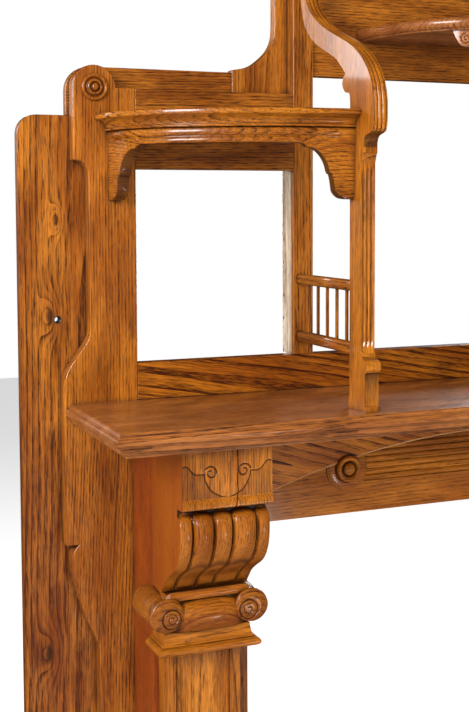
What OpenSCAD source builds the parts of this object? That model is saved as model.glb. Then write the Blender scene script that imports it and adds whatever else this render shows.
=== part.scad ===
// Oak fireplace mantel with an open overmantel.
// X runs along the wall, +Y into it, +Z up. The origin is on the floor, at the middle
// of the mantel's bounding box. Every outline is drawn for the left half and mirrored.

/* [Overall] */
// Width over the two wing boards
overall_w = 1670; // [1600:5:1760]
// Height from the floor to the top of the cornice
overall_h = 1980; // [1965:5:2050]
// Height of the shelf's top above the floor
shelf_h = 1220; // [1215:1:1225]
// Depth of the wooden frame behind its front face
frame_t = 45; // [44:1:50]
// Thickness of a front board, such as a stile or a rail
board_t = 25; // [24:1:26]

/* [Main shelf] */
// Length of the main shelf
shelf_w = 1541; // [1535:1:1560]
// How far the main shelf stands out from the front face
shelf_out = 280; // [270:1:300]
// Thickness of the main shelf
shelf_t = 38; // [36:1:40]

/* [Fireplace opening] */
// Clear width between the pilasters
opening_w = 1000; // [990:2:1004]
// Clear height under the frieze
opening_h = 1010; // [980:2:1030]

/* [Pilasters] */
// How far the pilaster's side boards stand out from the front face
side_out = 98; // [96:1:100]
// How far the shaft board stands out from the front face
shaft_out = 130; // [128:1:134]
// Width of the shaft board
shaft_w = 125; // [122:1:128]
// Width of the block and of the carved bracket
block_w = 142; // [140:1:144]
// How far the block stands out from the front face
block_out = 236; // [232:1:240]
// Height of the plain plinth at the floor
plinth_h = 150; // [120:5:180]

/* [Overmantel] */
// Width of one inner post
post_w = 36.7; // [36:0.1:38]
// Distance from the middle to the inner posts
post_in = 335.1; // [334:0.1:336]
// Thickness of the console boards
console_t = 24; // [23:0.5:24.5]
// Half width of the corner shelf, along the wall
corner_a = 345; // [340:1:348]
// How far the corner shelf stands out from the front face
corner_b = 240; // [236:1:240]
// Number of slim balusters in each gallery
baluster_n = 5; // [3:1:6]
// Thickness of one square baluster
baluster_w = 4.4; // [4:0.1:6]

/* [Top shelf] */
// Half width of the half-round top shelf
bow_a = 250; // [240:1:260]
// How far the top shelf stands out from the front face
bow_b = 245; // [235:1:250]
// Height of the top shelf's underside
bow_z = 1814; // [1812:1:1820]

/* [Fixings] */
// Radius of the wall screw hole in each wing board
screw_r = 4.5; // [3:0.1:5.5]
// Height of the wall screw holes
screw_z = 1353; // [1300:1:1400]

/* [Hidden] */
side_name = ["left", "right"];
paired = ["wing_board", "stile", "roundel", "upper_back", "ramp", "upper_rail", "inner_post",
    "console", "gallery_top_rail", "gallery_low_rail", "corner_shelf", "corner_apron",
    "pilaster_side", "pilaster_return", "capital", "scroll_cap", "necking", "shaft",
    "plinth", "rosette"];
single = ["lower_rail", "centre_back", "cornice", "top_shelf", "top_shelf_apron",
    "mantel_shelf", "frieze_board", "frieze_arch"];

face_y = (shelf_out + frame_t) / 2 - frame_t;  // the front face in the part's own frame
post_out = post_in + post_w;                    // outer side of an inner post
stile_in = 650;                                 // inner side of a stile
stile_out = 771.5;                              // widest part of a stile
rail_top = 1280;                                // top of the rail behind the shelf
shelf_low = shelf_h - shelf_t;                  // underside of the main shelf
head_c = [-717, 1720];                          // centre of a stile's round head
head_r = 35;
pil_x = -(opening_w / 2 + 160);                 // outer side of a pilaster
pil_c = pil_x + block_w / 2;                    // middle of a pilaster
crown_h = 40;                                   // height of the cornice
corner_apron_t = 24;                            // thickness of the band under a corner shelf
crown_z = overall_h - crown_h;

// ---- outlines ----

// Points of a circular arc from angle a0 to a1
function arc(c, r, a0, a1, n = 10) =
    [for (i = [0:n]) let (a = a0 + (a1 - a0) * i / n) [c[0] + r * cos(a), c[1] + r * sin(a)]];

// Points of an arc of an ellipse about the origin
function oval(a, b, a0, a1, n) =
    [for (i = [0:n]) let (t = a0 + (a1 - a0) * i / n) [a * cos(t), b * sin(t)]];

// Smooth curve through key points (Catmull-Rom), with n steps between neighbours
function curve(p, n = 4) = concat(
    [for (i = [0:len(p) - 2])
        let (a = p[max(i - 1, 0)], b = p[i], c = p[i + 1], d = p[min(i + 2, len(p) - 1)])
        for (k = [0:n - 1])
            let (t = k / n)
            0.5 * (2 * b + (c - a) * t + (2 * a - 5 * b + 4 * c - d) * t * t
                + (3 * b - a - 3 * c + d) * t * t * t)],
    [p[len(p) - 1]]);

// Height of a broken line (list of [u, value]) at position u
function along(line, u) = lookup(u, line);

// ---- building blocks ----

// Moves a piece drawn from the front face into the part's frame, on side 0 (left) or 1
module place(side = 0) {
    translate([0, face_y, 0]) if (side == 0) children(); else mirror([1, 0, 0]) children();
}

// Box between two corners
module block(lo, hi) {
    translate(lo) cube(hi - lo);
}

// Outline in x and z, as thick as y0 to y1
module face_board(points, y0, y1) {
    translate([0, y1, 0]) rotate([90, 0, 0]) linear_extrude(y1 - y0) polygon(points);
}

// Outline in y and z, as thick as x0 to x1
module edge_board(points, x0, x1) {
    translate([x0, 0, 0]) rotate([90, 0, 90]) linear_extrude(x1 - x0) polygon(points);
}

// Block whose front and two ends carry one moulding. The profile lists [out, z] from the
// bottom up, where out is measured from the plain block
module moulded_block(x0, x1, front, back, profile) {
    n = len(profile) - 1;
    low = profile[0][1];
    high = profile[n][1];
    intersection() {
        edge_board(concat([for (p = profile) [front - p[0], p[1]]],
            [[back, high], [back, low]]), x0 - 60, x1 + 60);
        face_board(concat([for (p = profile) [x0 - p[0], p[1]]],
            [for (i = [n:-1:0]) [x1 + profile[i][0], profile[i][1]]]), front - 60, back);
    }
}

// Slab in the plan of part of an ellipse, with a moulding on its curved edge. The profile
// lists [in, z] from the bottom up, where in is measured from the ellipse a by b
module bowed_slab(a, b, a0, a1, n, profile) {
    hub = a1 - a0 < 180 ? [[0, 0]] : [];
    ring = n + 1 + len(hub);
    m = len(profile);
    points = [for (p = profile)
        for (q = concat(hub, oval(a - p[0], b - p[0], a0, a1, n))) [q[0], q[1], p[1]]];
    sides = [for (j = [0:m - 2]) for (i = [0:ring - 1])
        let (k = (i + 1) % ring) [j * ring + i, (j + 1) * ring + i, (j + 1) * ring + k, j * ring + k]];
    bottom = [for (i = [0:ring - 1]) i];
    top = [for (i = [ring - 1:-1:0]) (m - 1) * ring + i];
    polyhedron(points, concat(sides, [bottom, top]), convexity = 4);
}

// Thin band standing on part of an ellipse. Its lower edge at length s along the curve is
// given by low(s) as a list of [s, z], its upper edge is level
module bowed_band(a, b, thick, a0, a1, n, low, high) {
    outer = oval(a, b, a0, a1, n);
    inner = oval(a - thick, b - thick, a0, a1, n);
    step = [for (i = [0:n]) i == 0 ? 0 : norm(outer[i] - outer[i - 1])];
    reach = [for (i = 0, s = 0; i <= n; s = s + (i < n ? step[i + 1] : 0), i = i + 1) s];
    z = [for (i = [0:n]) along(low, min(reach[i], reach[n] - reach[i]))];
    points = [for (i = [0:n]) each [
        [outer[i][0], outer[i][1], z[i]], [outer[i][0], outer[i][1], high],
        [inner[i][0], inner[i][1], high], [inner[i][0], inner[i][1], z[i]]]];
    walls = [for (i = [0:n - 1]) for (k = [0:3])
        let (j = (k + 1) % 4) [4 * i + k, 4 * i + 4 + k, 4 * i + 4 + j, 4 * i + j]];
    polyhedron(points, concat(walls, [[0, 1, 2, 3], [4 * n + 3, 4 * n + 2, 4 * n + 1, 4 * n]]),
        convexity = 6);
}

// ---- boards against the wall ----

// Wide plain board at the outer side, with one screw hole to the wall
wing_top = 1677;
module wing_board(side) color("peru") place(side)
    difference() {
        face_board(concat([[-stile_in - 5, 0], [-stile_in - 5, wing_top]],
            arc([30 - overall_w / 2, wing_top - 30], 30, 90, 180, 6), [[-overall_w / 2, 0]]),
            board_t, frame_t);
        translate([-775, 0, screw_z]) rotate([-90, 0, 0]) cylinder(h = frame_t + 5, r = screw_r, $fn = 32);
    }

// Strip behind the stile's head and above the rail, with a half-round outer end
module upper_back(side) color("sienna") place(side)
    face_board(concat([[-473, wing_top], [-473, 1755]], arc([-717, 1716], 39, 90, 180, 8),
        [[-756, wing_top]]), frame_t - 16, frame_t);

// Board that sweeps up from the strip to run beside the inner post
module ramp(side) color("peru") place(side)
    face_board(concat([[-post_out, 1640], [-473, 1640], [-473, 1759]],
        curve([[-471, 1759], [-451, 1763], [-433, 1770], [-413, 1786], [-402, 1800],
            [-396, 1817], [-394.5, 1840]], 3),
        [[-394.5, crown_z], [-post_out, crown_z]]),
        board_t, frame_t);

// ---- front frame ----

// Long shaped board from the floor to the round head
module stile(side) color("chocolate") place(side)
    face_board(concat(
        [[-stile_in, 0], [-stile_in, head_c[1]], [-655, head_c[1]]],
        arc(head_c, head_r, 0, 180, 16),
        [[-752, 1606], [-748, 1606]],
        arc([-748, 1587], 19, 90, 0, 4),
        [[-728, 1574]],
        curve([[-728, 1335], [-731, 1322], [-743, 1304], [-758, 1284], [-768, 1266],
            [-stile_out, 1248]], 3),
        [[-stile_out, 992], [-751, 992]],
        curve([[-757, 985], [-763, 972], [-762, 952], [-754, 920], [-742, 877],
            [-728, 845], [-718.5, 818]], 3),
        [[-718.5, 0]]),
        0, board_t);

// Turned button on the round head
module roundel(side) color("saddlebrown") place(side)
    translate([head_c[0], 0, head_c[1]]) rotate([90, 0, 0])
        rotate_extrude($fn = 48) polygon([[0, 0], [21, 0], [21, 3], [19.5, 5], [17, 5], [15, 3],
            [13, 3], [12, 6], [9.5, 6.5], [8, 4], [6, 4], [5.5, 7], [3, 9], [0, 9.5]]);

// Rail above the side mirror
module upper_rail(side) color("chocolate") place(side)
    block([-stile_in, 0, 1592], [-post_out, board_t, head_c[1]]);

// Rail behind the main shelf, from stile to stile
module lower_rail() color("peru") place()
    block([-stile_in, 0, shelf_h], [stile_in, board_t, rail_top]);

// Upright between the side mirror and the middle one
module inner_post(side) color("peru") place(side)
    block([-post_out, 0, rail_top], [-post_in, frame_t, crown_z]);

// Broad board above the middle opening
centre_low = 1752;
module centre_back() color("sienna") place()
    block([-post_in, 6, centre_low], [post_in, 30, crown_z]);

// Plain moulded cornice over the posts
module cornice() color("sienna") place()
    moulded_block(-400, 400, -6, frame_t,
        [[0, crown_z], [0, crown_z + 6], [4, crown_z + 10], [8, crown_z + 18], [18, crown_z + 24],
            [22, crown_z + 28], [22, overall_h - 2], [20, overall_h]]);

// ---- consoles and galleries ----

// Shaped board that rises from the shelf and curves back to the inner post
shaft_front = -239;
shaft_back = -203;
module console(side) color("peru") place(side)
    edge_board(concat(
        [[-199, shelf_h], [-256, shelf_h], [-256, shelf_h + 7], [-252, shelf_h + 8],
            [-252, 1269], [-254, 1272], [-251, 1276]],
        curve([[-248, 1278], [-242, 1290], [shaft_front, 1308]], 2),
        [[shaft_front, 1596], [-244, 1610]],
        curve([[-246, 1622], [-255, 1630], [-266, 1644], [-275, 1665], [-276, 1690], [-268, 1717],
            [-252, 1741], [-227, 1763], [-192, 1782], [-145, 1801], [-99, 1822], [-63, 1847],
            [-44, 1872], [-34, 1900], [-30, crown_z]], 2),
        [[0, crown_z], [0, 1905]],
        curve([[-16, 1902], [-26, 1880], [-38, 1837], [-55, 1814], [-81, 1795], [-117, 1778],
            [-152, 1763], [-175, 1746], [-187, 1735]], 2),
        curve([[-179, 1728], [-177, 1718], [-186, 1707], [-200, 1703], [shaft_back, 1690]], 2),
        [[shaft_back, 1240], [-199, 1232]]),
        -post_out, console_t - post_out);

// Rail of the small gallery between the inner post and the console
gallery_x = console_t / 2 - post_out + 1;      // middle of the gallery
rail_round = 4;
gallery_w = 16;
module gallery_rail(side, low, high) color("peru") place(side)
    rotate([90, 0, 0]) linear_extrude(-shaft_back)
        polygon([for (q = [[-1, -1, 180], [1, -1, 270], [1, 1, 0], [-1, 1, 90]])
            each arc([gallery_x + q[0] * (gallery_w / 2 - rail_round),
                (low + high) / 2 + q[1] * ((high - low) / 2 - rail_round)],
                rail_round, q[2], q[2] + 90, 4)]);

// Slim square baluster, number i counted from the wall
low_rail_top = 1320;
top_rail_low = 1400;
module baluster(side, i) color("saddlebrown") place(side)
    translate([gallery_x, shaft_back * i / (baluster_n + 1), (low_rail_top + top_rail_low) / 2])
        cube([baluster_w, baluster_w, top_rail_low - low_rail_top], center = true);

// ---- corner shelves ----

// Quarter-round shelf between the stile and the console
corner_z = 1651;
module corner_shelf(side) color("sienna") place(side)
    translate([-post_out, 0, 0])
        bowed_slab(corner_a, corner_b, 180, 270, 28,
            [[18, corner_z], [17, corner_z + 4], [14, corner_z + 9], [10, corner_z + 13],
                [4, corner_z + 17], [2, corner_z + 19], [0, corner_z + 20], [0, corner_z + 24.5],
                [2, corner_z + 26.5]]);

// Bent band under the corner shelf, with a shaped bracket at each end
apron_low = [[0, 1542], [22, 1544], [30, 1551], [35, 1563], [36, 1581], [42, 1582], [44, 1592],
    [48, 1602], [57, 1613], [69, 1620], [82, 1621], [92, 1627], [300, 1627]];
module corner_apron(side) color("sienna") place(side)
    translate([-post_out, 0, 0])
        bowed_band(corner_a - 18, corner_b - 18, corner_apron_t, 180, 270, 56, apron_low, corner_z);

// ---- top shelf ----

// Half-round shelf on the broad board
module top_shelf() color("sienna") place()
    translate([0, 6, 0])
        bowed_slab(bow_a, bow_b + 6, 180, 360, 36,
            [[9, bow_z], [9, bow_z + 3], [4, bow_z + 5], [1, bow_z + 9], [0, bow_z + 14],
                [2, bow_z + 18], [5, bow_z + 20]]);

// Bowed band with a scroll at each end, under the front of the top shelf
module top_shelf_apron() color("sienna") place()
    translate([0, 6, 0])
        bowed_band(bow_a - 12, bow_b - 6, 16, 226, 314, 30,
            [[0, 1812], [6, 1799], [14, 1789], [24, 1786], [34, 1788], [60, 1793], [120, 1796],
                [300, 1788]], bow_z);

// ---- main shelf and frieze ----

// Thick moulded shelf; between the stiles it runs back to the wall
module mantel_shelf() color("sienna") place() {
    moulded_block(6 - shelf_w / 2, shelf_w / 2 - 6, 6 - shelf_out, 0,
        [[-14, shelf_low], [-14, shelf_low + 5], [-8, shelf_low + 6], [-4, shelf_low + 8],
            [-2, shelf_low + 12], [-1, shelf_low + 17], [3, shelf_low + 20], [6, shelf_low + 25],
            [6, shelf_low + 30], [4, shelf_low + 32], [0, shelf_low + 35], [-3, shelf_h]]);
    block([-stile_in, -1, shelf_low], [stile_in, frame_t, shelf_h]);
}

// Lower layer of the frieze, with level reeds between the two rosettes
frieze_y = -57;
arch_r = 1325;
arch_c = -188;
arch_t = 6;
function arch_z(x) = arch_c + sqrt(arch_r * arch_r - x * x);
reed_n = 6;
reed_pitch = 10.5;
reed_x = 262;
module frieze_board() color("peru") place()
    difference() {
        block([-opening_w / 2, frieze_y + arch_t, opening_h], [opening_w / 2, frieze_y + 26, shelf_low]);
        for (i = [0:reed_n - 1])
            block([-reed_x, frieze_y + arch_t - 1, 1066 + i * reed_pitch],
                [reed_x, frieze_y + arch_t + 2, 1069 + i * reed_pitch]);
    }

// Raised layer of the frieze above a flat arch
module arch_outline() {
    half = opening_w / 2;
    face_board(concat([[-half, shelf_low], [half, shelf_low]],
        [for (i = [12:-1:-12]) let (x = half * i / 12) [x, arch_z(x)]]),
        frieze_y, frieze_y + arch_t);
}
module frieze_arch() color("peru") place() arch_outline();

// Turned rosette at each end of the reeds
rosette_c = [-297, 1085];
module rosette(side) color("saddlebrown") place(side) {
    difference() {
        translate([rosette_c[0], frieze_y + arch_t, rosette_c[1]]) rotate([90, 0, 0])
            cylinder(h = arch_t, r = 33.5, $fn = 64);
        arch_outline();
    }
    translate([rosette_c[0], frieze_y, rosette_c[1]]) rotate([90, 0, 0])
        rotate_extrude($fn = 48) polygon([[0, 0], [20, 0], [20, 4], [18.5, 8], [16, 9], [13.5, 7],
            [12, 4], [9, 4], [8, 8], [4, 11], [0, 12]]);
}

// ---- pilasters ----

// Outer side board of the hollow pilaster
module pilaster_side(side) color("firebrick") place(side)
    block([pil_x, -side_out, 0], [pil_x + 22, 0, shelf_low]);

// Inner side board, which lines the fireplace opening back to the wall
module pilaster_return(side) color("sienna") place(side)
    block([-opening_w / 2 - 30, -side_out, 0], [-opening_w / 2, frame_t, shelf_low]);

// Front board of the pilaster, with a sunk panel
necking_low = 848;
module shaft(side) color("peru") place(side)
    difference() {
        block([pil_c - shaft_w / 2, -shaft_out, plinth_h], [pil_c + shaft_w / 2, -side_out, necking_low]);
        block([pil_c - shaft_w / 2 + 18, -shaft_out - 1, plinth_h + 40],
            [pil_c + shaft_w / 2 - 18, -shaft_out + 3, necking_low + 1]);
    }

// Plain plinth block at the floor
module plinth(side) color("sienna") place(side)
    moulded_block(pil_c - shaft_w / 2, pil_c + shaft_w / 2, -shaft_out, -side_out,
        [[8, 0], [8, plinth_h - 12], [5, plinth_h - 6], [0, plinth_h]]);

// Moulding that caps the shaft
necking_top = 884;
module necking(side) color("peru") place(side)
    moulded_block(pil_x, pil_x + block_w, -153, -side_out,
        [[-10, necking_low], [4, necking_low], [10, necking_low + 3], [13, necking_low + 8],
            [12, necking_low + 12], [8, necking_low + 15], [3, necking_low + 16],
            [2, necking_low + 19], [0, necking_low + 21], [-2, necking_top]]);

// Cap of cushion and scrolls over the necking
cap_top = 945;
scroll_z = 909;
scroll_r = 24;
scroll_x = 63;
module scroll_cap(side) color("saddlebrown") place(side) {
    block([pil_c - 66, -150, necking_top], [pil_c + 66, -side_out, cap_top]);
    for (s = [-1, 1])
        translate([pil_c + s * scroll_x, -side_out, scroll_z]) rotate([90, 0, 0]) {
            cylinder(h = 60, r = scroll_r, $fn = 48);
            translate([s * 5, 0, 0]) cylinder(h = 52, r = scroll_r, $fn = 48);
            cylinder(h = 64, r = 10, $fn = 32);
        }
    translate([pil_c - scroll_x, -150, scroll_z - 2]) rotate([0, 90, 0])
        rotate_extrude($fn = 48) polygon(concat([[0, 0]],
            [for (i = [0:10]) [13 + 9 * sin(18 * i), 2 * scroll_x * i / 10]],
            [[0, 2 * scroll_x]]));
}

// S-shaped front of the carved bracket, as [z, out]
bracket_front = curve([[cap_top, 140], [958, 152], [970, 161], [986, 184], [1004, 211],
    [1025, 225], [1049, 230], [1072, 229], [1091, 232]], 2);

// Edges of the bracket's five strips, as shares of its width, and how far each one bulges
strip_edge = [0, 0.15, 0.375, 0.6, 0.85, 1];
strip_crown = [2, 7, 4, 7, 2];

// How far the strips stand over the bracket's front, at width u and height v, both 0 to 1
function strip(u, v) = max([for (i = [0:4])
    let (t = (2 * u - strip_edge[i] - strip_edge[i + 1]) / (strip_edge[i + 1] - strip_edge[i]))
    abs(t) <= 1 ? strip_crown[i] * (1 - t * t) : 0]) * sin(180 * min(v * 1.15, 1)) - 3;

// Carved bracket: a grid of points over its front, closed by flat ends and a flat back
module bracket() {
    nx = 40;
    nz = len(bracket_front) - 1;
    row = nx + 1;
    b = row * (nz + 1);
    front = [for (j = [0:nz]) for (i = [0:nx])
        [pil_x + block_w * i / nx, -bracket_front[j][1] - strip(i / nx, j / nz), bracket_front[j][0]]];
    back = [for (j = [0:nz]) for (i = [0, nx]) [pil_x + block_w * i / nx, -side_out, bracket_front[j][0]]];
    skin = [for (j = [0:nz - 1]) for (i = [0:nx - 1])
        let (k = j * row + i) each [[k, k + row, k + row + 1], [k, k + row + 1, k + 1]]];
    ends = [for (j = [0:nz - 1]) each [
        [j * row, b + 2 * j, b + 2 * j + 2, (j + 1) * row],
        [j * row + nx, (j + 1) * row + nx, b + 2 * j + 3, b + 2 * j + 1],
        [b + 2 * j, b + 2 * j + 1, b + 2 * j + 3, b + 2 * j + 2]]];
    top = nz * row;
    caps = concat([[nx, b + 1, b], [top + nx, b + 2 * nz, b + 2 * nz + 1]],
        [for (i = [0:nx - 1]) each [[i, i + 1, b], [top + i + 1, top + i, b + 2 * nz]]]);
    polyhedron(concat(front, back), concat(skin, ends, caps), convexity = 8);
}

// Block and carved bracket in one piece
module capital(side) color("peru") place(side) {
    bracket();
    moulded_block(pil_x, pil_x + block_w, -block_out, -side_out,
        [[-6, 1090], [2, 1092], [4, 1096], [4, 1102], [2, 1106], [0, 1108], [0, shelf_low]]);
}

// ---- the pieces by name ----

for (s = [0, 1]) {
    wing_board(s);
    stile(s);
    roundel(s);
    upper_back(s);
    ramp(s);
    upper_rail(s);
    inner_post(s);
    console(s);
    gallery_rail(s, top_rail_low, 1417);
    gallery_rail(s, 1302, low_rail_top);
    for (i = [1:baluster_n])
        baluster(s, i);
    corner_shelf(s);
    corner_apron(s);
    pilaster_side(s);
    pilaster_return(s);
    capital(s);
    scroll_cap(s);
    necking(s);
    shaft(s);
    plinth(s);
    rosette(s);
}
lower_rail();
centre_back();
cornice();
top_shelf();
top_shelf_apron();
mantel_shelf();
frieze_board();
frieze_arch();
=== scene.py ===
# %% [markdown]
# # An oak mantelpiece with an open overmantel
# The real thing is a big piece of joinery: boards, mouldings and a few carved blocks, all
# oak under a warm varnish. The frame already holds every piece at its true size. This
# lesson gives each one its finish: soft arrises on the boards, full mouldings, carving on
# the brackets, and one oak that shows its rings the way each board was sawn.

import math

import bmesh
import bpy
import numpy as np
from mathutils import Matrix, Vector


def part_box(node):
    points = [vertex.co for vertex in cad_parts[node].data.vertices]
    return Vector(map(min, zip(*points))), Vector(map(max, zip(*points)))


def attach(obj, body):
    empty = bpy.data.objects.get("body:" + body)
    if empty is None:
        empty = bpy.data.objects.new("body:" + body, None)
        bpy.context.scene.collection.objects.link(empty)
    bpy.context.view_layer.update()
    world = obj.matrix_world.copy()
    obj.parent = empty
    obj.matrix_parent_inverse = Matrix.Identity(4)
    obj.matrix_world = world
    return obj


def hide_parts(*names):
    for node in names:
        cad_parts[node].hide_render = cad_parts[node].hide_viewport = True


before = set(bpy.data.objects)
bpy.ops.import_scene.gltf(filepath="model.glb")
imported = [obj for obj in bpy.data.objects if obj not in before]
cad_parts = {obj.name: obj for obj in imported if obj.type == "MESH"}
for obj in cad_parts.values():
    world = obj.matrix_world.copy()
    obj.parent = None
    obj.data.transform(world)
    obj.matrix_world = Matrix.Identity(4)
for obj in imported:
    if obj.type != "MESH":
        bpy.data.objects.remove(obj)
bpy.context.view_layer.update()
print("nodes in the frame:", len(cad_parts))

# %% [markdown]
# ## Measures
# Shapes are drawn in millimetres from the front face of the stiles, as a joiner measures
# them, and moved into the frame at the end. Every place comes from the box of a node, so
# the pieces follow if the construction changes. Only the left half is drawn.

# %% Boxes of nodes in millimetres
MM = 0.001
SIDES = ("left", "right")
face_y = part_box("stile_left")[0].y / MM


def box(node):
    """Lowest and highest corner of a node, in millimetres from the front face."""
    low, high = (np.array(corner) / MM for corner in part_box(node))
    shift = np.array([0, face_y, 0])
    return low - shift, high - shift


def unit(values):
    """The values, kept between 0 and 1."""
    return np.clip(values, 0, 1)


shelf_low, shelf_high = box("mantel_shelf")
capital_low, capital_high = box("capital_left")
post_low, post_high = box("inner_post_left")
print("shelf top at", round(shelf_high[2]), "mm; pilaster from", capital_low.round(), capital_high.round())

# %% [markdown]
# ## Camera
# The mantel is seen from the left, a little above the shelf, with a moderately long lens,
# and only its left half fits the picture. Yaw, pitch and roll turn the camera about its
# own place; a lens shift keeps the uprights nearly parallel, as a view camera does.

# %% Camera
eye = Vector((-1.2372, -1.7259, 1.531))
yaw, pitch, roll = (math.radians(a) for a in (22.505, 3.919, -0.222))
ahead = Vector((math.sin(yaw) * math.cos(pitch), math.cos(yaw) * math.cos(pitch), -math.sin(pitch)))
level = Vector((math.cos(yaw), -math.sin(yaw), 0))
upright = level.cross(ahead)
right = math.cos(roll) * level + math.sin(roll) * upright
up = math.cos(roll) * upright - math.sin(roll) * level
camera = bpy.data.objects.new("camera", bpy.data.cameras.new("camera"))
camera.matrix_world = Matrix.Translation(eye) @ Matrix((right, up, -ahead)).transposed().to_4x4()
camera.data.lens = 60.69
camera.data.shift_x = -0.0054
camera.data.shift_y = -0.0937
bpy.context.scene.collection.objects.link(camera)
bpy.context.scene.camera = camera
print("camera at", tuple(round(c, 3) for c in eye))

# %% [markdown]
# ## Light and floor
# A pale studio. The background is white, but it lights the wood only dimly and is never
# mirrored in it, or the varnish would look milky. A soft lamp high on the left draws the
# highlights down the mouldings, a small low one in front puts a gloss on the brackets, a
# broad one lights the front without any gloss, and two behind light the back.


# %% Studio
def lamp(name, place, target, size, watts):
    """A square area lamp that looks at its target."""
    light = bpy.data.lights.new(name, "AREA")
    light.size = size
    light.energy = watts
    made = bpy.data.objects.new(name, light)
    made.location = place
    made.rotation_euler = (Vector(target) - Vector(place)).to_track_quat("-Z", "Y").to_euler()
    made.visible_camera = False
    bpy.context.scene.collection.objects.link(made)
    return made


WORLD_LIGHT = 0.44
world = bpy.data.worlds.new("studio")
world.use_nodes = True
tree = world.node_tree
paper = tree.nodes["Background"]
paper.inputs["Color"].default_value = (1, 1, 1, 1)
dim = tree.nodes.new("ShaderNodeBackground")
dim.inputs["Color"].default_value = (1, 1, 1, 1)
dim.inputs["Strength"].default_value = WORLD_LIGHT
rays = tree.nodes.new("ShaderNodeLightPath")
choice = tree.nodes.new("ShaderNodeMixShader")
tree.links.new(rays.outputs["Is Camera Ray"], choice.inputs["Fac"])
tree.links.new(dim.outputs["Background"], choice.inputs[1])
tree.links.new(paper.outputs["Background"], choice.inputs[2])
tree.links.new(choice.outputs["Shader"], tree.nodes["World Output"].inputs["Surface"])
bpy.context.scene.world = world
world.cycles_visibility.glossy = False
bpy.context.scene.view_settings.view_transform = "Standard"
middle = (-0.4, 0, 1.3)
lamp("key", (-3.2, -1.7, 2.5), middle, 1.3, 122)
lamp("low front", (0.65, -2.8, 0.09), (-0.55, -0.1, 1.05), 0.3, 3.5)
lamp("fill", (-0.2, -3.6, 3.4), middle, 1.8, 66).visible_glossy = False
lamp("back left", (-2.8, 3.0, 2.6), middle, 1.6, 50)
lamp("back right", (2.8, 3.0, 2.6), middle, 1.6, 50)

# %% [markdown]
# ## Shader values
# A material is arithmetic on patterns. This small class wraps one output of a node, and
# Python's operators on it add the Math nodes, so that a pattern reads as a formula.


# %% Values and materials
class Value:
    """One value in a material. +, -, * and / on it add Math nodes, on either side."""

    def __init__(self, finish, socket):
        self.finish = finish
        self.socket = socket

    def math(self, operation, *others):
        return self.finish.node("ShaderNodeMath", {"operation": operation},
                                dict(enumerate([self, *others])))

    def __add__(self, other):
        return self.math("ADD", other)

    def __sub__(self, other):
        return self.math("SUBTRACT", other)

    def __mul__(self, other):
        return self.math("MULTIPLY", other)

    def __truediv__(self, other):
        return self.math("DIVIDE", other)

    def __pow__(self, other):
        return self.math("POWER", other)

    def __rsub__(self, other):
        return (self * -1.0) + other

    __radd__ = __add__
    __rmul__ = __mul__

    def smooth(self, low, high):
        """0 below low, 1 above high, and a smooth step between."""
        settings = {"interpolation_type": "SMOOTHSTEP"}
        places = {"Value": self, "From Min": low, "From Max": high}
        return self.finish.node("ShaderNodeMapRange", settings, places)


class Finish:
    """A material under construction: its node tree and the ways to add to it."""

    def __init__(self, name):
        self.material = bpy.data.materials.new(name)
        self.material.use_nodes = True
        self.tree = self.material.node_tree
        self.shader = self.tree.nodes["Principled BSDF"]

    def put(self, socket, value):
        """Links a value into a socket, or sets the socket's own number."""
        if isinstance(value, Value):
            self.tree.links.new(value.socket, socket)
        else:
            socket.default_value = value

    def node(self, kind, settings, inputs, out=0):
        """Adds a node: its type, then its settings, then what its sockets hold."""
        made = self.tree.nodes.new(kind)
        for key, setting in settings.items():
            setattr(made, key, setting)
        for key, value in inputs.items():
            self.put(made.inputs[key], value)
        return Value(self, made.outputs[out])

    def stretched(self, vector, factors):
        """A vector with each part multiplied by its factor."""
        return self.node("ShaderNodeVectorMath", {"operation": "MULTIPLY"}, {0: vector, 1: factors})

    def noise(self, vector, factors, detail=2.0):
        """Cloudy noise from 0 to 1, at the given features per metre along each part."""
        return self.node("ShaderNodeTexNoise", {},
                         {"Vector": self.stretched(vector, factors), "Scale": 1.0, "Detail": detail})

    def mix(self, share, first, second):
        """The first colour where share is 0 and the second where it is 1."""
        return self.node("ShaderNodeMix", {"data_type": "RGBA"}, {0: share, 6: first, 7: second}, 2)

    def attribute(self, name):
        """A vector stored on the vertices of the piece."""
        return self.node("ShaderNodeAttribute", {"attribute_name": name}, {}, 1)

    def parts(self, vector):
        """The three numbers of a vector."""
        first = self.node("ShaderNodeSeparateXYZ", {}, {0: vector})
        outputs = first.socket.node.outputs
        return [Value(self, outputs[i]) for i in range(3)]


print("a value adds its Math nodes by +, -, *, / and **")

# %% [markdown]
# ## Oak
# A tree's rings are cylinders about its pith, so a board's figure is where its faces cut
# them. Each vertex knows its place in its own log: two distances across from the pith and
# one along the grain. The distance from the pith, made to wander, divided by the width of
# a ring, gives the ring; its pores are darkest where the ring ends. A face square to the
# rings shows straight lines, a face along them shows arches, with one formula. Painted
# shade darkens the corners and hollows that an occlusion test finds, and the points the
# mesh marks: painted shade, and darker cuts of the carving.


# %% Oak
# Heights in metres where the shelf's painted shadow fades out, and the deep red that both the red stain and
# that painted shadow lean to.
SHELF_SHADE = (1.12, 1.22)
RED_STAIN_AND_SHADE = (0.24, 0.040, 0.002, 1)


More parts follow.
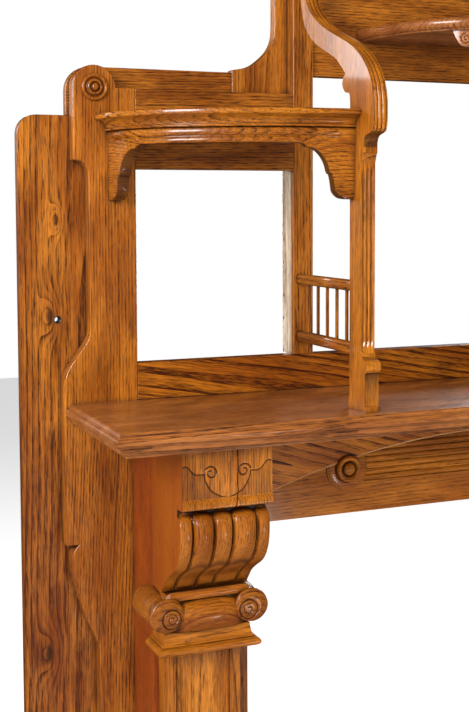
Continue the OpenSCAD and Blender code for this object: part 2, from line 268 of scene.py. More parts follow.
def oak(name, dark, middle, light, rings=1.0, gloss=0.34, knots=(), under_shelf_shade=0.0):
    """Oak: r = distance from the pith + wander; ring = fraction of r / ring width;
    colour goes from light to middle with slow noise, and to dark in rings, streaks,
    pores and knots. Painted shade darkens corners and hollows found by an occlusion test,
    and the points the mesh marks as painted shade or darker cuts. Below the shelf the
    colour is painted deeper and redder by a given share, as the shelf's painted shadow."""
    finish = Finish(name)
    log = finish.attribute("log")
    ring_width, tone, red = finish.parts(finish.attribute("cut"))
    across, depth, along = finish.parts(log)
    radius = (across * across + depth * depth).math("SQRT")
    wander = finish.noise(log, (6.0, 6.0, 1.2), 1.0) - 0.5
    ripple = finish.noise(log, (45.0, 45.0, 4.0), 2.0) - 0.5
    radius = radius + wander * 0.030 + ripple * 0.0030 + along * 0.012
    x, y, z = finish.parts(finish.node("ShaderNodeTexCoord", {}, {}, 3))
    heart = None
    for knot_x, knot_z, size in knots:
        flat = (x - knot_x) / size
        tall = (z - knot_z) / (size * 2.2)
        pull = ((flat * flat + tall * tall) * -1.0).math("EXPONENT")
        radius = radius + pull * 0.024
        core = pull.smooth(0.75, 1.0)
        heart = core if heart is None else heart.math("MAXIMUM", core)
    # Painted shadow of the shelf: below it the colour turns darker and redder.
    if under_shelf_shade:
        below = (1.0 - z.smooth(*SHELF_SHADE)) * under_shelf_shade
        red = red + below * 0.5
        tone = tone - below * 0.7
    turn = radius / ring_width
    ring = turn.math("FRACT")
    each = finish.noise(finish.node("ShaderNodeCombineXYZ", {}, {0: turn}), (0.7, 1.0, 1.0), 1.0)
    early = ring ** 3.0 * (each.smooth(0.28, 0.70) * 0.8 + 0.2)
    broken = finish.noise(log, (150.0, 150.0, 16.0), 2.0).smooth(0.36, 0.58) * 0.5 + 0.5
    streaks = finish.noise(log, (640.0, 640.0, 20.0), 3.0).smooth(0.42, 0.62)
    pores = finish.noise(log, (1100.0, 1100.0, 60.0), 2.0).smooth(0.46, 0.62)
    clouds = finish.noise(log, (22.0, 22.0, 5.0), 3.0).smooth(0.32, 0.68)
    dusk = finish.noise(log, (30.0, 30.0, 12.0), 4.0).smooth(0.48, 0.74)
    rays = finish.noise(log, (130.0, 130.0, 38.0), 1.0).smooth(0.66, 0.76)
    colour = finish.mix(clouds, (*middle, 1), (*light, 1))
    colour = finish.mix(rays * 0.20, colour, (*[1.3 * c for c in light], 1))
    grain = early * broken * (0.85 * rings) + streaks * 0.36 + pores * (ring * 0.30 + 0.25) + dusk * 0.20
    stain = (grain - tone).math("MAXIMUM", 0.0).math("MINIMUM", 1.0)
    colour = finish.mix(stain, colour, (*dark, 1))
    colour = finish.mix(red, colour, RED_STAIN_AND_SHADE)
    if heart is not None:
        colour = finish.mix(heart * 0.85, colour, (0.035, 0.010, 0.004, 1))
    # Painted shade: ambient occlusion darkens corners, hollows and the joints between parts, and the marks
    # on the mesh add painted shade and darker cuts.
    hollow = finish.node("ShaderNodeAmbientOcclusion", {"samples": 6}, {"Distance": 0.016}, 1)
    shade_and_darkening = finish.node("ShaderNodeAttribute", {"attribute_name": "shade_and_darkening"}, {}, 2)
    painted_shade_and_darkening = ((1.0 - hollow).smooth(0.22, 0.85) * 0.88).math("MAXIMUM", shade_and_darkening)
    colour = finish.mix(painted_shade_and_darkening, colour, (*[0.28 * c for c in dark], 1))
    finish.put(finish.shader.inputs["Base Color"], colour)
    smear = finish.noise(log, (22.0, 22.0, 9.0), 2.0) - 0.5
    finish.put(finish.shader.inputs["Roughness"], gloss + pores * 0.15 + smear * 0.16 + painted_shade_and_darkening * 0.25)
    finish.put(finish.shader.inputs["Specular IOR Level"], 0.30)
    finish.put(finish.shader.inputs["Coat Weight"], 0.75 - painted_shade_and_darkening * 0.5)
    finish.put(finish.shader.inputs["Coat Roughness"], 0.13)
    height = (early * 0.5 + pores) * -1.0
    bump = finish.node("ShaderNodeBump", {}, {"Strength": 0.25, "Distance": 0.0004, "Height": height})
    finish.put(finish.shader.inputs["Normal"], bump)
    return finish.material


wing_low, wing_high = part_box("wing_board_left")
knots = [(wing_low.x + 0.048, wing_high.z - 0.318, 0.016), (wing_low.x + 0.060, wing_high.z - 0.165, 0.010),
         (wing_low.x + 0.040, wing_high.z - 0.865, 0.018), (wing_high.x - 0.045, wing_high.z - 0.87, 0.012)]
finishes = {
    "board": oak("oak board", (0.045, 0.009, 0.001), (0.32, 0.084, 0.005), (0.58, 0.185, 0.014),
                 under_shelf_shade=0.32),
    "wing": oak("oak wing board", (0.042, 0.008, 0.001), (0.26, 0.062, 0.003), (0.54, 0.172, 0.014),
                1.3, knots=knots, under_shelf_shade=0.28),
    "carved": oak("oak carved", (0.050, 0.010, 0.001), (0.33, 0.088, 0.004), (0.56, 0.180, 0.011),
                  0.9, 0.30),
    "shelf": oak("oak shelf", (0.048, 0.011, 0.002), (0.33, 0.092, 0.012), (0.52, 0.175, 0.036), 0.9, 0.46),
    "red": oak("oak red", (0.110, 0.018, 0.001), (0.24, 0.034, 0.001), (0.34, 0.056, 0.001), 0.4, 0.38),
    "figured": oak("figured oak", (0.055, 0.009, 0.001), (0.42, 0.105, 0.003), (0.62, 0.190, 0.008),
                   1.7, 0.36),
    "painted_highlight": oak("painted highlight oak", (0.20, 0.07, 0.018), (0.56, 0.25, 0.07), (0.72, 0.38, 0.14), 0.6, 0.42),
    "bare": oak("bare oak", (0.16, 0.075, 0.030), (0.42, 0.27, 0.16), (0.74, 0.60, 0.44), 1.0, 0.60),
}
iron = Finish("dark iron")
speck = iron.noise(iron.node("ShaderNodeTexCoord", {}, {}, 3), (900.0, 900.0, 900.0), 3.0)
iron.put(iron.shader.inputs["Base Color"], iron.mix(speck, (0.05, 0.045, 0.04, 1), (0.16, 0.12, 0.09, 1)))
iron.put(iron.shader.inputs["Metallic"], 0.85)
iron.put(iron.shader.inputs["Roughness"], speck * 0.4 + 0.25)
finishes["iron"] = iron.material
print("finishes:", sorted(finishes))

# %% [markdown]
# ## How a piece gets its wood
# The same oak serves every board, because the board itself says how it was sawn: which
# way its grain runs, how far away its pith lay, how wide its rings are, and its tone.
# These go on the vertices as vectors, so they stay with the piece and survive a bevel.

# %% Stamp the wood on a mesh
AXES = {"x": (1, 2, 0), "y": (0, 2, 1), "z": (0, 1, 2)}
LOG_STEP = 3.7
boards_cut = 0


def stamp(mesh, grain, pith, ring, tone, red, bend, lean):
    """log = (across - pith, depth - pith + lean * along, along + a start of its own), in
    metres; cut = (ring width, tone, redness). Where the trunk leans behind the board, the
    rings come out as pointed arches. On a bent piece the grain follows the bend about its
    hub: along = angle * largest radius, across = distance from the hub."""
    global boards_cut
    boards_cut += 1
    points = np.empty(len(mesh.vertices) * 3)
    mesh.vertices.foreach_get("co", points)
    points = points.reshape(-1, 3)
    redness = red(points) if callable(red) else red
    if bend is not None:
        from_hub = np.stack([np.abs(points[:, 0]) + bend[0] * MM,
                             points[:, 1] - (face_y + bend[1]) * MM], 1)
        spoke = np.hypot(*from_hub.T)
        bow = np.arctan2(from_hub[:, 0], -from_hub[:, 1]) * spoke.max()
        points = np.stack([bow, spoke, points[:, 2]], 1)
    centre = (points.min(0) + points.max(0)) / 2
    first, second, third = AXES[grain]
    length = points[:, third] - centre[third]
    log = np.stack([points[:, first] - centre[first] - pith[0] * MM,
                    points[:, second] - centre[second] - pith[1] * MM + lean * length,
                    points[:, third] + LOG_STEP * boards_cut], 1)
    cut = np.broadcast_to([ring * MM, tone, 0.0], log.shape).copy()
    cut[:, 2] = redness
    for name, values in (("log", log), ("cut", cut)):
        mesh.attributes.new(name, "FLOAT_VECTOR", "POINT").data.foreach_set("vector", values.ravel())


# %% [markdown]
# A piece is then made in one place: clean mesh, outward faces, smooth shading that stops
# at true arrises, the wood, and its tie to the frame. A bevel rounds the arrises, because
# an edge with no width never catches the light.

# %% Make a piece
FLAT, ARRIS, TURN = (math.radians(angle) for angle in (0.2, 28, 38))


def piece(name, nodes, mesh, finish="board", grain="z", pith=(120, 40), ring=4.5, tone=0.0, red=0.0,
          bevel=0.8, bend=None, lean=0.0):
    """Closes, shades, stains and ties one mesh. It stands for the named nodes."""
    work = bmesh.new()
    work.from_mesh(mesh)
    bmesh.ops.remove_doubles(work, verts=work.verts, dist=1e-6)
    if bevel:
        bmesh.ops.dissolve_limit(work, angle_limit=FLAT, verts=work.verts, edges=work.edges)
    bmesh.ops.recalc_face_normals(work, faces=work.faces)
    work.to_mesh(mesh)
    work.free()
    mesh.name = name
    made = bpy.data.objects.new(name, mesh)
    bpy.context.scene.collection.objects.link(made)
    mesh.shade_smooth()
    if bevel:
        soft = made.modifiers.new("arris", "BEVEL")
        soft.width = bevel * MM
        soft.segments = 2
        soft.limit_method = "ANGLE"
        soft.angle_limit = ARRIS
        soft.use_clamp_overlap = False
        level = made.modifiers.new("flat faces", "WEIGHTED_NORMAL")
        level.weight = 100
        level.keep_sharp = True
    else:
        mesh.set_sharp_from_angle(angle=TURN)
    stamp(mesh, grain, pith, ring, tone, red, bend, lean)
    mesh.materials.clear()
    mesh.materials.append(finishes[finish])
    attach(made, "root")
    if nodes:
        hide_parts(*nodes)
    print(f"{name}: {len(mesh.vertices)} vertices, {len(mesh.polygons)} faces")
    return made


# %% [markdown]
# ## Plain boards
# A board's shape is already right in the frame, so its mesh is copied, its loose
# triangles are merged back into faces, and its arrises are eased. What differs from
# board to board is the saw: a pith far to the side gives straight lines, a pith close
# behind the face gives arches. The rail behind the shelf and the arched board over the
# opening were cut from leaning trunks, for their bold figure.


# %% Boards
def board(stem, sides=SIDES, **wood):
    """A copy of a board's own mesh with eased arrises, once for each side."""
    names = [f"{stem}_{side}" for side in sides] if sides else [stem]
    for name in names:
        piece(name + "_wood", [name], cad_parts[name].data.copy(), **wood)


board("wing_board", finish="wing", pith=(25, 75), ring=7.5, tone=0.03, bevel=1.5)
board("stile", pith=(170, 60), ring=4.6, tone=0.17, bevel=1.8)
board("upper_back", grain="x", pith=(25, 170), ring=4.5, tone=-0.04, bevel=1.0)
board("ramp", pith=(40, 60), ring=5, bevel=1.2)
board("upper_rail", grain="x", pith=(25, 150), ring=4.5, tone=-0.08, bevel=1.0)
board("inner_post", pith=(90, 60), ring=4.2, tone=0.04, bevel=1.2)
board("lower_rail", (), finish="figured", grain="x", pith=(20, -90), ring=11, tone=-0.14,
      bevel=1.2, lean=0.17)
board("centre_back", (), grain="x", pith=(30, 220), ring=4.8, tone=0.0, bevel=1.0)
board("pilaster_side", finish="red", pith=(60, 90), ring=5.0, tone=-0.06, bevel=1.2)
board("pilaster_return", finish="shelf", pith=(60, 90), ring=4.5, tone=-0.25, bevel=1.5)
board("frieze_arch", (), finish="figured", grain="x", pith=(-6, -120), ring=15, tone=0.14,
      bevel=1.5, lean=0.28)
board("gallery_top_rail", finish="carved", grain="y", pith=(60, 40), ring=4, bevel=0)
board("gallery_low_rail", finish="carved", grain="y", pith=(60, 40), ring=4, bevel=0)
for number in range(1, 6):
    for side in SIDES:
        board(f"baluster_{side}_{number}", (), finish="carved", pith=(40, 20), ring=3, tone=-0.1, bevel=0.5)

# %% [markdown]
# ## Profiles and paths
# A moulding is one profile carried along a path. The profile is drawn in sections: a
# smooth curve through a few key points for each hollow or round, with a true arris where
# two sections meet.


# %% Curves and sweeps
def curve(points, steps=5):
    """Catmull-Rom curve: each span is a cubic whose end slopes are half the chord
    between the neighbours of that end."""
    p = np.array([points[0], *points, points[-1]], float)
    t = np.linspace(0, 1, steps, endpoint=False)[None, :, None]
    a, b, c, d = (p[k:len(p) - 3 + k, None] for k in range(4))
    spans = 0.5 * (2 * b + (c - a) * t + (2 * a - 5 * b + 4 * c - d) * t**2
                   + (3 * b - a - 3 * c + d) * t**3)
    return np.vstack([spans.reshape(-1, p.shape[1]), p[-1:]])


def profile(start, *sections):
    """Sections joined end to end, each given by the points it goes on to; a section of
    one point is a straight line."""
    line = [np.array([start], float)]
    for section in sections:
        keys = [line[-1][-1], *section]
        line.append(np.array(section, float) if len(section) == 1 else curve(keys)[1:])
    return np.vstack(line)


def grid(x, y, z):
    """Points of a surface from its three coordinates, each spread over rows and columns."""
    return np.stack(np.broadcast_arrays(x, y, z), -1)


def quads(rows, columns, wrap):
    """Corner numbers of the faces of a grid whose points run row by row."""
    i = np.arange(rows - 1)[:, None] * columns
    j = np.arange(columns if wrap else columns - 1)[None]
    k = (j + 1) % columns
    return np.stack([i + j, i + k, i + columns + k, i + columns + j], -1).reshape(-1, 4).tolist()


def closed(rings):
    """Faces of a pile of closed rings, with one face across each end."""
    rows, columns = rings.shape[:2]
    ends = [list(range(columns)), list(range((rows - 1) * columns, rows * columns))]
    return quads(rows, columns, True) + ends


def backed(front, back_y, shade_and_darkening=0.0):
    """A grid of front points made a solid: each row is closed by its last and its first
    point, moved back to back_y."""
    corners = front[:, [-1, 0]].copy()
    corners[..., 1] = back_y
    rings = np.concatenate([front, corners], 1)
    point_darkening = np.zeros(rings.shape[:2])
    point_darkening[:, :-2] = shade_and_darkening
    return rings, closed(rings), point_darkening


def mesh_of(shells, side):
    """One mesh from shells (points in millimetres, faces, and how dark each point is
    painted, for painted shade and darker cuts, if any); the right side is mirrored."""
    points, faces, point_darkening, start = [], [], [], 0
    for shell_points, shell_faces, *shade_and_darkening in shells:
        flat = np.asarray(shell_points, float).reshape(-1, 3)
        points.append(flat)
        point_darkening.append(np.ravel(shade_and_darkening[0]) if shade_and_darkening else np.zeros(len(flat)))
        faces += [[corner + start for corner in face] for face in shell_faces]
        start += len(flat)
    placed = (np.vstack(points) + [0, face_y, 0]) * MM
    if side == "right":
        placed[:, 0] *= -1
    mesh = bpy.data.meshes.new("shape")
    mesh.from_pydata(placed.tolist(), [], faces)
    mesh.attributes.new("shade_and_darkening", "FLOAT", "POINT").data.foreach_set("value", np.concatenate(point_darkening))
    return mesh


def from_shells(node, shells, side="left", finish="carved", bevel=0, **wood):
    """A piece worked out here, that stands for a node of the frame."""
    piece(node + "_wood", [node], mesh_of(shells, side), finish=finish, bevel=bevel, **wood)


def swept(outline, path, away):
    """P(i, j) = path(j) + out(i) * away(j), at height z(i); gives points and faces."""
    outline, path, away = (np.asarray(a, float) for a in (outline, path, away))
    level = path[None] + outline[:, 0, None, None] * away[None]
    height = np.broadcast_to(outline[:, 1, None, None], (*level.shape[:2], 1))
    rings = np.concatenate([level, height], 2)
    return rings, closed(rings)


def around_box(x0, x1, front, back, steps=1):
    """Path round the two ends and the front of a block, and which way is out on it."""
    along = np.linspace(x0, x1, steps + 1)
    path = [(x0, back), *[(x, front) for x in along], (x1, back)]
    away = [(-1, 0), (-1, -1), *[(0, -1)] * (steps - 1), (1, -1), (1, 0)]
    return path, away


def around_oval(centre, a, b, start, end, steps, hub):
    """Path along part of an ellipse; a hub point closes a quarter."""
    t = np.radians(np.linspace(start, end, steps + 1))
    ray = np.stack([np.cos(t), np.sin(t)], 1)
    path = np.array(centre) + ray * [a, b]
    if hub:
        return np.vstack([path, centre]), np.vstack([ray, (0, 0)])
    return path, ray


print("a swept profile has rows along its height and columns along its path")

# %% [markdown]
# ## Main shelf
# The thick shelf has a bold edge: a fillet and hollow below, a round above, and a small
# quirk between, mitred at the corners. Between the stiles it runs back to the wall, so
# its path is a T.

# %% Main shelf
shelf_edge = profile(
    (-14, 0), [(-14, 4.5)], [(-9.5, 5)], [(-6, 6.6), (-3.4, 10), (-2, 16)], [(0.5, 17)],
    [(4, 19.4), (5.8, 24), (5.4, 28), (3.4, 30.6)], [(0.8, 31)], [(0.2, 34), (-1.8, 36.8), (-4.5, 38)])
shelf_edge[:, 1] += shelf_low[2]
end_x = shelf_high[0] - 6
front = shelf_low[1] + 6
stile_in = box("lower_rail")[1][0]
wall_y = shelf_high[1]
half = [(stile_in, wall_y), (stile_in, 0), (end_x, 0), (end_x, front)]
shelf_path = [(-x, y) for x, y in half] + half[::-1]
shelf_away = [(0, 0), (0, 0), (-1, 0), (-1, -1), (1, -1), (1, 0), (0, 0), (0, 0)]
from_shells("mantel_shelf", [swept(shelf_edge, shelf_path, shelf_away)],
            finish="shelf", grain="x", pith=(150, 60), ring=5.5, tone=0.02, bevel=0.5)

# %% [markdown]
# ## Cornice, plinths and necking
# These are the same kind of thing: a profile carried round three sides of a block. The
# necking under the scrolls has a bold round, a quirk and a sloping fascia, and a little
# leaf nicked into its front, which has worn nearly flat.


# %% Mouldings round a block
def nick(x, z, leaf_x, leaf_z):
    """Depth of the small leaf: short slanting cuts on both sides of its middle."""
    u = (x - leaf_x) / 9
    v = (z - leaf_z) / 6
    inside = unit(1 - u**2 - v**2)
    return inside * (0.8 + 1.4 * np.abs(np.sin(9 * u + 5 * np.abs(v))))


cornice_low, cornice_high = box("cornice")
crown = profile(
    (0, 0), [(0, 6)], [(3.5, 6.5)], [(4.5, 12), (8.5, 18), (16, 22)], [(19, 23)],
    [(22, 27), (22, 33), (20.5, 38)], [(19, 40)])
crown[:, 1] += cornice_low[2]
path, away = around_box(cornice_low[0] + 22, cornice_high[0] - 22, cornice_low[1] + 22, cornice_high[1])
from_shells("cornice", [swept(crown, path, away)],
            finish="board", grain="x", pith=(70, 60), ring=5, tone=-0.03, bevel=0.5)

plinth_low, plinth_high = box("plinth_left")
foot = profile(
    (8, 0), [(8, plinth_high[2] - 14)],
    [(7, plinth_high[2] - 8), (3, plinth_high[2] - 5), (0.5, plinth_high[2] - 4)],
    [(0, plinth_high[2])])
neck_low, neck_high = box("necking_left")
neck = profile(
    (-10, 0), [(2, 0)], [(8, 1.2), (12.2, 4.6), (12.8, 8.4), (10.6, 12.2), (7, 14)], [(4, 14.4)],
    [(5, 16), (3.4, 17.6)], [(1.6, 18)], [(0, 26), (-1.5, 34.5)], [(-2.5, 36)])
neck[:, 1] += neck_low[2]
for side in SIDES:
    path, away = around_box(plinth_low[0] + 8, plinth_high[0] - 8, plinth_low[1] + 8, plinth_high[1])
    from_shells(f"plinth_{side}", [swept(foot, path, away)], side,
                finish="board", pith=(90, 60), ring=5, tone=-0.05, bevel=1.2)
    path, away = around_box(neck_low[0] + 13, neck_high[0] - 13, neck_low[1] + 13, neck_high[1], 120)
    rings, faces = swept(neck, path, away)
    leaf = nick(rings[..., 0], rings[..., 2], neck_low[0] + 52, neck_low[2] + 19)
    rings[:, 1:-1, 1] += leaf[:, 1:-1] * (side == "left")
    from_shells(f"necking_{side}", [(rings, faces)], side, grain="x", pith=(60, 40), ring=4.5, tone=0.20)

# %% [markdown]
# ## Corner shelves
# A quarter of an ellipse fills the corner between stile and console. Its edge is a fillet
# over a hollow, with a thin bead at the bottom. Under it stands a bent band with two
# beads, whose lower edge drops into a small bracket at each end: a quarter round, a step,
# and a hollow that rises to the level part.

# %% Corner shelves
corner_low, corner_high = box("corner_shelf_left")
corner_a = corner_high[0] - corner_low[0]
corner_b = corner_high[1] - corner_low[1]
hub = (corner_high[0], corner_high[1])
corner_edge = profile(
    (-20, 0), [(-17, 0.4), (-15.6, 2), (-16.4, 4)], [(-18, 4.6)],
    [(-16.6, 9.5), (-12, 14), (-4, 17.6)], [(-1.6, 18)], [(0, 19.4), (0, 24.4), (-1.6, 26.5)])
corner_edge[:, 1] += corner_low[2]

apron_low, apron_high = box("corner_apron_left")
BAND = 24
apron_drop = profile(
    (0, 0), [(12, 0.6), (22, 2.6), (30, 9), (34, 18), (35.5, 38)], [(41.5, 39)],
    [(43, 47), (48, 59), (57, 70), (69, 77.5), (80, 79)], [(82, 82.5)], [(90, 85)])
apron_drop[:, 1] += apron_low[2]


def hump(z, centre, width):
    """A round bead: the top half of a circle, 0 outside its width."""
    return np.sqrt(unit(1 - ((z - centre) / width)**2))


def band(centre, a, b, thick, start, end, steps, drop, top, relief):
    """Closed ring of a bent band's section at each step along an ellipse. The lower
    edge follows drop, measured from the nearer end; relief pushes the face outwards. The
    sawn lower edge is painted dark, as painted shade under the band."""
    t = np.radians(np.linspace(start, end, steps + 1))
    ray = np.stack([np.cos(t), np.sin(t)], 1)
    line = ray * [a, b]
    reach = np.append(0, np.cumsum(np.linalg.norm(np.diff(line, axis=0), axis=1)))
    near = np.minimum(reach, reach[-1] - reach)
    low = np.interp(near, drop[:, 0], drop[:, 1])
    v = np.linspace(0, 1, 34)[None]
    z = low[:, None] + (top - low[:, None]) * v
    out = relief(reach[:, None], near[:, None], z)
    lip = 1.2 * (1 - hump(v, 0.5, 0.5))**6
    outer = np.array(centre) + line[:, None] + (out - lip)[..., None] * ray[:, None]
    inner = np.array(centre) + ray * [a - thick, b - thick]
    face = np.dstack([outer, z])
    back_top = np.column_stack([inner, np.full(len(t), top)])[:, None]
    back_low = np.column_stack([inner, low])[:, None]
    rings = np.concatenate([face, back_top, back_low], 1)
    shade_and_darkening = np.zeros(rings.shape[:2])
    # Painted shade on the underside of the band and the foot of its back.
    shade_and_darkening[:, [0, -1]] = 0.62
    return rings, closed(rings), shade_and_darkening


def two_beads(reach, near, z):
    """A bead under the shelf all the way, and one along the lower edge between brackets."""
    high_bead = 3.2 * hump(z, apron_high[2] - 7, 6)
    level = unit((near - 84) / 6)
    return high_bead + 2.6 * level * hump(z, apron_low[2] + 89.5, 4.5) - 3.2


SETBACK = 18
for side in SIDES:
    path, away = around_oval(hub, corner_a, corner_b, 180, 270, 60, True)
    from_shells(f"corner_shelf_{side}", [swept(corner_edge, path, away)], side,
                grain="x", pith=(60, 70), ring=5, tone=-0.04, bevel=0.5, bend=hub)
    bent = band(hub, corner_a - SETBACK, corner_b - SETBACK, BAND, 180, 270, 220,
                apron_drop, apron_high[2], two_beads)
    from_shells(f"corner_apron_{side}", [bent], side,
                grain="x", pith=(40, 60), ring=4.5, tone=-0.06, bend=hub)

# %% [markdown]
# ## Top shelf
# The half-round shelf under the cornice has a plain rounded edge. The band under it ends
# in a scroll on each side, cut with one line of a spiral.

# %% Top shelf
top_low, top_high = box("top_shelf")
bow_a = top_high[0]
bow_b = top_high[1] - top_low[1]
bow_edge = profile(
    (-9, 0), [(-8.6, 2.6)], [(-5.5, 3)], [(-1.6, 6), (0, 11), (-0.8, 16), (-4.5, 19.4), (-8, 20)])
bow_edge[:, 1] += top_low[2]
bow_centre = (0, top_high[1])
path, away = around_oval(bow_centre, bow_a, bow_b, 180, 360, 96, False)
from_shells("top_shelf", [swept(bow_edge, path, away)],
            finish="shelf", grain="x", pith=(50, 60), ring=5, tone=-0.02, bevel=0.4)

scroll_low, scroll_high = box("top_shelf_apron")
scroll_drop = profile(
    (0, 26), [(4, 16), (11, 5), (20, 0.4), (30, 0.6), (40, 5)], [(62, 7.5), (90, 9.5), (120, 10)],
    [(300, 4)])
scroll_drop[:, 1] += scroll_low[2]


def spiral_cut(u, v, r0, r1, turns, start, width):
    """How deep a V-cut along a spiral is at (u, v): r falls evenly from r0 to r1 over
    the turns, and the cut is one deep on its line and nothing at its width."""
    angle = np.arctan2(v, u) - start
    depth = np.zeros(np.broadcast(u, v).shape)
    for lap in range(int(turns) + 2):
        swept_angle = angle % (2 * np.pi) + 2 * np.pi * lap
        r = r0 + (r1 - r0) * swept_angle / (2 * np.pi * turns)
        inside = swept_angle <= 2 * np.pi * turns
        depth = np.maximum(depth, inside * unit(1 - np.abs(np.hypot(u, v) - r) / width))
    return depth


def scroll_face(reach, near, z):
    """One spiral near each end of the bowed band."""
    return -1.8 * spiral_cut(near - 21, z - (scroll_low[2] + 14), 9, 1.5, 1.6, 1.6, 1.4)


bent = band(bow_centre, bow_a - 12, bow_b - 12, 16, 226, 314, 360,
            scroll_drop, scroll_high[2], scroll_face)
from_shells("top_shelf_apron", [bent],
            finish="shelf", grain="x", pith=(40, 60), ring=4.5, tone=-0.02, bend=bow_centre)

# %% [markdown]
# ## Turned pieces
# Roundel and rosette are turned: one profile spun about its own axis, which points out
# from the wall. Where the radius is nothing, all the points of a ring fall together, and
# merging doubles closes the pole.


# %% Roundels and rosettes
def turned(outline, centre, back, grooves=(), steps=72):
    """P(i, t) = centre + r(i) * (cos t, sin t) in x and z, and out(i) towards the front;
    the grooves, given by their radii, are darkened."""
    outline = np.asarray(outline, float)
    t = np.linspace(0, 2 * np.pi, steps, endpoint=False)[None]
    r, out = outline[:, :1], outline[:, 1:]
    x = centre[0] + r * np.cos(t)
    z = centre[1] + r * np.sin(t)
    rings = grid(x, back - out, z)
    dark = sum((np.exp(-((r - groove) / 1.5)**2) for groove in grooves), np.zeros_like(r))
    shade_and_darkening = np.broadcast_to(0.85 * dark.clip(0, 1) * (out > 0), x.shape)
    return rings, quads(len(outline), steps, True), shade_and_darkening


button = profile(
    (0, 0), [(21, 0)], [(21, 2.4), (20, 4.6), (17.6, 5), (16, 3.4)], [(14, 2.2), (12.4, 3.4)],
    [(11.6, 5.8), (9.8, 6.6), (8.2, 5)], [(7, 3.4), (5.6, 4.6)], [(5, 7.6), (2.8, 9.2), (0, 9.5)])
flower = profile(
    (0, -5.9), [(38, -5.9)], [(38, -3.4)], [(35.5, -3)], [(35, -1)], [(33.4, -0.5)], [(24.6, -0.5)],
    [(23.6, -2.4)], [(22.9, 3.6), (20.6, 7.2), (17.6, 7.8), (14.6, 5.6)], [(12.4, 2.2), (11, 2.4)],
    [(10, 7.2), (6.4, 10.8), (0, 12)])
ROSE_RISE = 36.5
head_low, head_high = box("roundel_left")
rose_low, rose_high = box("rosette_left")
frieze_y = box("frieze_arch")[0][1]
for side in SIDES:
    centre = ((head_low[0] + head_high[0]) / 2, (head_low[2] + head_high[2]) / 2)
    from_shells(f"roundel_{side}", [turned(button, centre, 0, (7, 14.4))], side,
                pith=(30, 40), ring=4, tone=0.20)
    centre = ((rose_low[0] + rose_high[0]) / 2, rose_low[2] + ROSE_RISE)
    from_shells(f"rosette_{side}", [turned(flower, centre, frieze_y, (12, 23.8))], side,
                grain="x", pith=(30, 40), ring=4, tone=0.22)

# %% [markdown]
# ## Frieze
# Behind the raised arch lies a plain board with level reeds run into it between the
# rosettes. A reed is half a circle, with a sharp quirk where two meet, darkened.

# %% Frieze
frieze_low, frieze_high = box("frieze_board")
REED, REEDS, REED_SINK = 10.5, 6, 3.4
REED_X, REED_Z = 262.0, 1062.0
z = np.arange(REED_Z - 1, REED_Z + REEDS * REED + 1, 0.75)
z = np.unique(np.concatenate([[frieze_low[2], frieze_high[2]], z]))
x = np.array([frieze_low[0], -REED_X - 1, -REED_X, REED_X, REED_X + 1, frieze_high[0]])
inside = (z > REED_Z) & (z < REED_Z + REEDS * REED)
reed = np.where(inside, 1 - np.sqrt(1 - ((z - REED_Z) / REED % 1 * 2 - 1)**2), 0)
sunk = np.outer(np.abs(x) <= REED_X, reed)
front_face = grid(x[:, None], frieze_low[1] + REED_SINK * sunk, z[None])
frieze = backed(front_face, frieze_high[1], 0.8 * unit(1.6 * sunk - 0.6))
from_shells("frieze_board", [frieze], grain="x", pith=(40, 60), ring=6, tone=0.16)

# %% [markdown]
# A painted highlight lies along the lower edge of the arch: a pale line on its arris.
# It is a thin half-round strip whose path is the arch itself: a circle of large radius.

# %% Painted highlight on the arch's lower arris
ARCH_RADIUS, ARCH_CENTRE, ARCH_END = 1325, -188, 470
# Radius of the half-round strip that carries the painted highlight.
PAINTED_HIGHLIGHT_RADIUS = 1.7
x = np.linspace(-ARCH_END, ARCH_END, 95)
arch_z = ARCH_CENTRE + np.sqrt(ARCH_RADIUS**2 - x**2)
t = np.radians(np.linspace(-100, 100, 7))[None]
arris = grid(x[:, None], frieze_y + 1.2 - PAINTED_HIGHLIGHT_RADIUS * np.cos(t), arch_z[:, None] + 0.6 + PAINTED_HIGHLIGHT_RADIUS * np.sin(t))
piece("arch_painted_highlight", [], mesh_of([(arris, closed(arris))], "left"), finish="painted_highlight", grain="x",
      pith=(60, 40), tone=0.2, bevel=0)

# %% [markdown]
# ## Shaft
# The front board of the pilaster has a sunk panel. Its edge is one profile of the
# distance to the panel's border: a flat, a sharp quirk, a bead, and the lower field. The
# least of the distances to the sides and the bottom mitres it by itself.

# %% Shaft
shaft_low, shaft_high = box("shaft_left")
SIDE_STRIP, FOOT_STRIP = 17, 42
panel = profile(
    (-40, 0), [(0, 0)], [(0.6, -2.6)], [(1.8, -2.4)], [(3, -0.8), (5.4, 0), (7.8, -0.8), (9, -2.4)],
    [(10, -3)], [(400, -3)])
near = np.append(np.arange(-1, 12, 0.5), 14)
x = np.unique(np.concatenate([[shaft_low[0], shaft_high[0]], shaft_low[0] + SIDE_STRIP + near,
                              shaft_high[0] - SIDE_STRIP - near]))
z = np.unique(np.concatenate([[shaft_low[2], shaft_high[2]], shaft_low[2] + FOOT_STRIP + near]))
from_sides = np.minimum(x - shaft_low[0], shaft_high[0] - x) - SIDE_STRIP
border = np.minimum(from_sides[:, None], (z - shaft_low[2] - FOOT_STRIP)[None])
front_face = grid(x[:, None], shaft_low[1] - np.interp(border, panel[:, 0], panel[:, 1]), z[None])
shaft = backed(front_face, shaft_high[1])
for side in SIDES:
    from_shells(f"shaft_{side}", [shaft], side, pith=(30, 90), ring=4.5, tone=0.10)

# %% [markdown]
# ## Consoles
# Each console is a board sawn to a long S. Its side outline comes first, in millimetres
# from the front of the stiles and up from the floor: a foot with a bead and a cove, the
# straight part, a second cove, and the S up to the cornice; then the back edge down.

